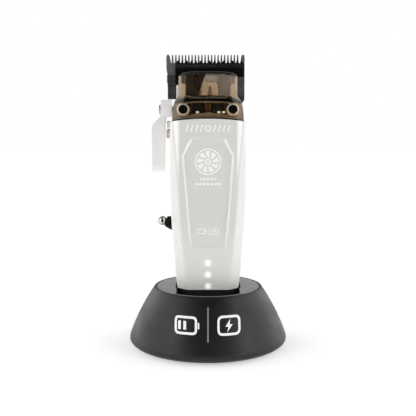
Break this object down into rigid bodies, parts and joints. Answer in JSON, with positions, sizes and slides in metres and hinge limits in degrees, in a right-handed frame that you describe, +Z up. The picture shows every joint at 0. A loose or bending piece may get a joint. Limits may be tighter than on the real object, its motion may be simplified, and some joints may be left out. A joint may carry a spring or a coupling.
{
  "type": "hair clipper",
  "caption": "Cordless hair clipper with a toothed blade, amber head cover, taper lever and toggle switch, standing in a round charging stand.",
  "frame": {"origin": "centre of the stand's underside, on the surface it stands on", "axes": "+Z up along the clipper towards the blade, -Y the clipper's front, +X the viewer's right"},
  "size_m": [0.0968, 0.0968, 0.1768],
  "materials": {
    "stand_plastic": "fine matte moulded texture",
    "disc_plastic": "satin moulded plastic",
    "black_plastic": "moulded black plastic",
    "rubber": "matte rubber",
    "white_paint": "satin white paint on a metal housing",
    "lever_paint": "satin light grey paint",
    "amber_clear": "smoked amber clear plastic",
    "black_steel": "black diamond-like coating on steel",
    "steel": "plain steel",
    "chrome": "polished chrome",
    "bronze": "turned bronze",
    "copper": "enamelled copper winding",
    "gold": "gold-plated contact",
    "tan_plastic": "tan engineering plastic",
    "knob_grey": "turned grey metal",
    "circuit_board": "glass-fibre circuit board",
    "battery_wrap": "shrink-wrapped cell",
    "light_pipe": "frosted clear light pipe"
  },
  "bodies": {
    "stand": {"stand_shell": "stand_plastic", "cradle": "disc_plastic", "stand_base_plate": "black_plastic", "base_pad": "rubber", "stand_ballast": "steel", "stand_circuit_board": "circuit_board", "power_inlet": "black_plastic", "contact_block": "black_plastic", "stand_screw_1": "steel", "stand_screw_2": "steel", "stand_screw_3": "steel"},
    "contact_pin_left": {"contact_pin_left": "gold"},
    "contact_pin_right": {"contact_pin_right": "gold"},
    "clipper": {"front_shell": "white_paint", "rear_shell": "white_paint", "end_cap": "black_plastic", "end_cap_screw_left": "steel", "end_cap_screw_right": "steel", "shell_screw": "steel", "inner_chassis": "black_plastic", "battery_cell": "battery_wrap", "main_circuit_board": "circuit_board", "charge_light_1": "light_pipe", "charge_light_2": "light_pipe", "charge_light_3": "light_pipe", "charge_contact_left": "gold", "charge_contact_right": "gold", "motor_can": "steel", "stator_coil": "copper", "motor_bearing": "steel", "motor_bracket": "black_plastic", "cam_housing": "black_plastic", "collar_gasket": "rubber", "head_cover": "amber_clear", "cover_screw_left": "black_steel", "cover_screw_right": "black_steel", "fixed_blade": "black_steel", "blade_screw_left": "steel", "blade_screw_right": "steel", "detent_knob": "knob_grey", "switch_body": "black_plastic", "switch_boot": "rubber"},
    "taper_lever": {"taper_lever": "lever_paint", "lever_screw": "black_steel", "lever_cam": "steel"},
    "blade_carriage": {"blade_carriage": "steel", "tension_spring": "steel"},
    "cutter": {"cutter_blade": "black_steel", "cam_follower": "tan_plastic", "follower_screw_left": "steel", "follower_screw_right": "steel"},
    "rotor": {"rotor_shaft": "steel", "rotor_magnet": "steel", "eccentric_cam": "bronze"},
    "toggle": {"toggle_lever": "chrome"}
  },
  "joints": [
    {"name": "clipper_lift", "type": "slide", "parent": "stand", "child": "clipper", "axis": [0, 0, 1], "range_m": [0, 0.06]},
    {"name": "contact_pin_left_press", "type": "slide", "parent": "stand", "child": "contact_pin_left", "axis": [0, 0, 1], "range_m": [-0.0008, 0], "stiffness_N_per_m": 150, "springref_m": 0.0005},
    {"name": "contact_pin_right_press", "type": "slide", "parent": "stand", "child": "contact_pin_right", "axis": [0, 0, 1], "range_m": [-0.0008, 0], "stiffness_N_per_m": 150, "springref_m": 0.0005},
    {"name": "taper_lever_turn", "type": "hinge", "parent": "clipper", "child": "taper_lever", "pos_m": [-0.022, 0.0055, 0.1435], "axis": [1, 0, 0], "range_deg": [-35, 0]},
    {"name": "blade_carriage_slide", "type": "slide", "parent": "clipper", "child": "blade_carriage", "axis": [0, 0, 1], "range_m": [0, 0.0026]},
    {"name": "cutter_slide", "type": "slide", "parent": "blade_carriage", "child": "cutter", "axis": [1, 0, 0], "range_m": [-0.0023, 0.0002]},
    {"name": "rotor_spin", "type": "hinge", "parent": "clipper", "child": "rotor", "pos_m": [0, -0.0045, 0.11], "axis": [0, 0, 1], "continuous": true},
    {"name": "power_switch_throw", "type": "hinge", "parent": "clipper", "child": "toggle", "pos_m": [-0.02, 0.004, 0.0745], "axis": [0, 1, 0], "range_deg": [-19, 0]}
  ],
  "couplings": [
    {"joint": "blade_carriage_slide", "follows": "taper_lever_turn", "m_per_rad": -0.004233}
  ]
}
